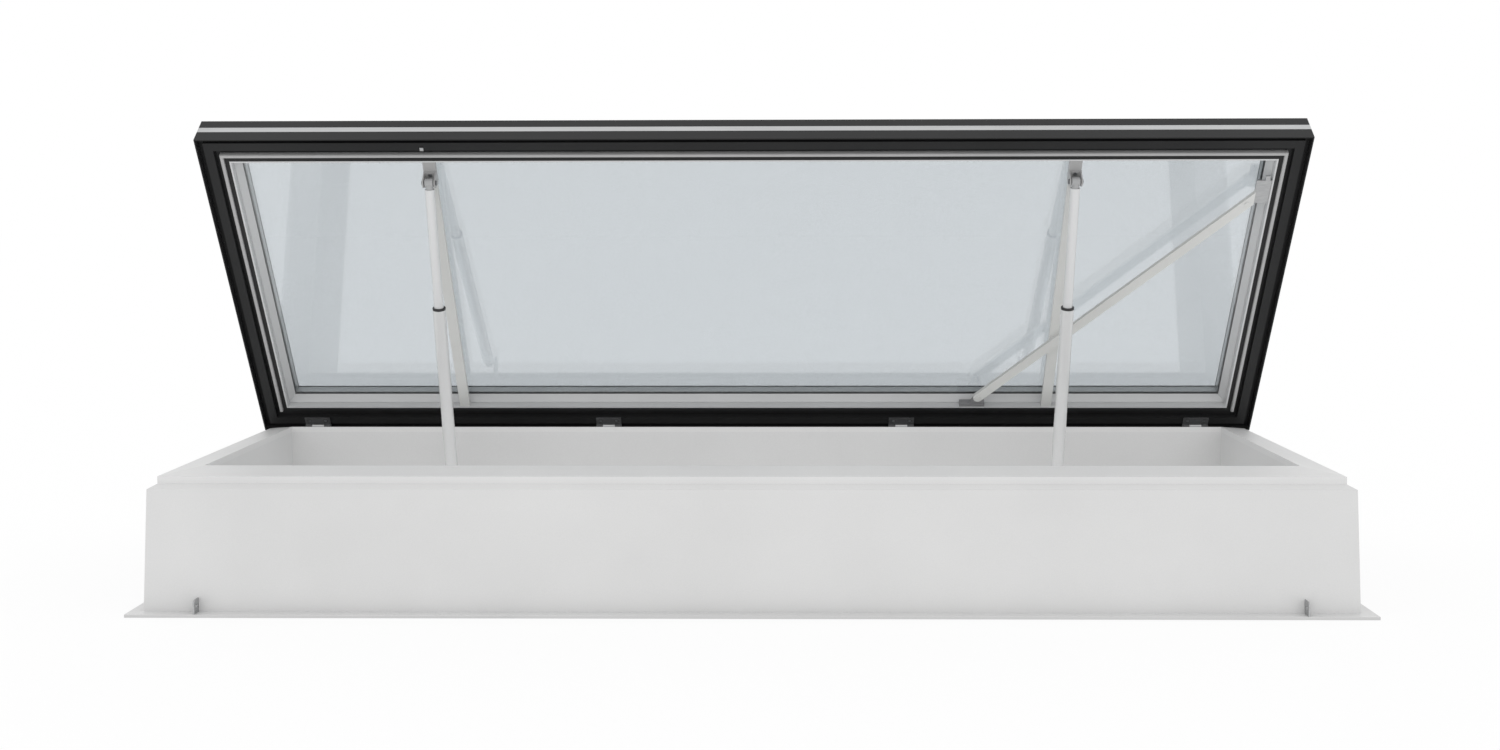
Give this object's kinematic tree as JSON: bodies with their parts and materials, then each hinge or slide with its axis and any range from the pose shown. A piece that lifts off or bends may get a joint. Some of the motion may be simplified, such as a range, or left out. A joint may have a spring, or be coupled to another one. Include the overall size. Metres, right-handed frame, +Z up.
{
  "type": "access hatch",
  "caption": "Glazed roof access hatch: a hinged glass lid stands open on gas struts above a long white insulated kerb.",
  "frame": {"origin": "middle of the kerb's underside, on the roof deck", "axes": "+X along the hatch, +Y towards the hinged rear side, +Z up"},
  "size_m": [2.7892, 1.0521, 1.1233],
  "materials": {
    "kerb_white": "smooth white moulding",
    "rim_white": "white cap profile",
    "lug_steel": "zinc plated",
    "hinge_steel": "zinc plated leaf",
    "leaf_dark": "dark satin coat",
    "pin_steel": "zinc plated",
    "bracket_steel": "zinc plated plate",
    "frame_black": "dark satin coat",
    "strip_grey": "anodised",
    "seal_grey": "soft grey bead",
    "gasket_black": "dark gasket",
    "liner_grey": "light grey coat",
    "glass": "clear double glazing",
    "spacer_grey": "matt spacer",
    "bar_white": "light grey coat",
    "bracket_grey": "light grey coat",
    "dark_fittings": "dark coat",
    "rod_white": "white sleeve",
    "tube_white": "white gloss coat",
    "ring_black": "moulded ring"
  },
  "bodies": {
    "kerb": {"kerb": "kerb_white", "rim_profile": "rim_white", "anchor_lugs": "lug_steel", "hinge_1_kerb_leaf": "hinge_steel", "hinge_2_kerb_leaf": "hinge_steel", "hinge_3_kerb_leaf": "hinge_steel", "hinge_4_kerb_leaf": "hinge_steel", "hinge_1_pin": "pin_steel", "hinge_2_pin": "pin_steel", "hinge_3_pin": "pin_steel", "hinge_4_pin": "pin_steel", "kerb_hinge_screws": "pin_steel", "left_lower_bracket": "bracket_steel", "right_lower_bracket": "bracket_steel", "lower_bracket_screws": "pin_steel"},
    "lid": {"lid_frame": "frame_black", "edge_strip": "strip_grey", "cover_profile": "frame_black", "lid_seal": "seal_grey", "lower_liner": "liner_grey", "upper_liner": "liner_grey", "glazing_gasket": "gasket_black", "inner_pane": "glass", "pane_spacer": "spacer_grey", "outer_pane": "glass", "cover_gasket": "gasket_black", "hinge_1_lid_leaf": "leaf_dark", "hinge_2_lid_leaf": "leaf_dark", "hinge_3_lid_leaf": "leaf_dark", "hinge_4_lid_leaf": "leaf_dark", "lid_hinge_screws": "pin_steel", "left_cross_bar": "bar_white", "right_cross_bar": "bar_white", "left_upper_bracket": "bracket_grey", "right_upper_bracket": "bracket_grey", "left_upper_pin": "dark_fittings", "right_upper_pin": "dark_fittings", "upper_bracket_screws": "pin_steel", "stay_bar": "bar_white", "stay_shoe": "dark_fittings", "stay_bracket": "lug_steel", "stay_bolts": "pin_steel", "front_tab": "lug_steel"},
    "left_rod": {"left_rod": "rod_white"},
    "right_rod": {"right_rod": "rod_white"},
    "left_tube": {"left_tube": "tube_white", "left_tube_ring": "ring_black", "left_tube_foot": "tube_white"},
    "right_tube": {"right_tube": "tube_white", "right_tube_ring": "ring_black", "right_tube_foot": "tube_white"}
  },
  "joints": [
    {"name": "lid_hinge", "type": "hinge", "parent": "kerb", "child": "lid", "pos_m": [0, 0.4635, 0.315], "axis": [1, 0, 0], "range_deg": [0, 54.6], "stiffness_Nm_per_rad": 168, "springref_deg": -88.81},
    {"name": "left_rod_pivot", "type": "hinge", "parent": "lid", "child": "left_rod", "pos_m": [-0.7895, -0.02252, 0.97128], "axis": [1, 0, 0], "range_deg": [-4.14, 0]},
    {"name": "left_tube_slide", "type": "slide", "parent": "left_rod", "child": "left_tube", "axis": [0, -0.3082, 0.9513], "range_m": [0, 0.29142]},
    {"name": "right_rod_pivot", "type": "hinge", "parent": "lid", "child": "right_rod", "pos_m": [0.7895, -0.02252, 0.97128], "axis": [1, 0, 0], "range_deg": [-4.14, 0]},
    {"name": "right_tube_slide", "type": "slide", "parent": "right_rod", "child": "right_tube", "axis": [0, -0.3082, 0.9513], "range_m": [0, 0.29142]}
  ],
  "couplings": [
    {"joint": "left_rod_pivot", "follows": "lid_hinge", "ratio": -0.072228},
    {"joint": "left_tube_slide", "follows": "lid_hinge", "m_per_rad": 0.30518},
    {"joint": "right_rod_pivot", "follows": "lid_hinge", "ratio": -0.072228},
    {"joint": "right_tube_slide", "follows": "lid_hinge", "m_per_rad": 0.30518}
  ]
}
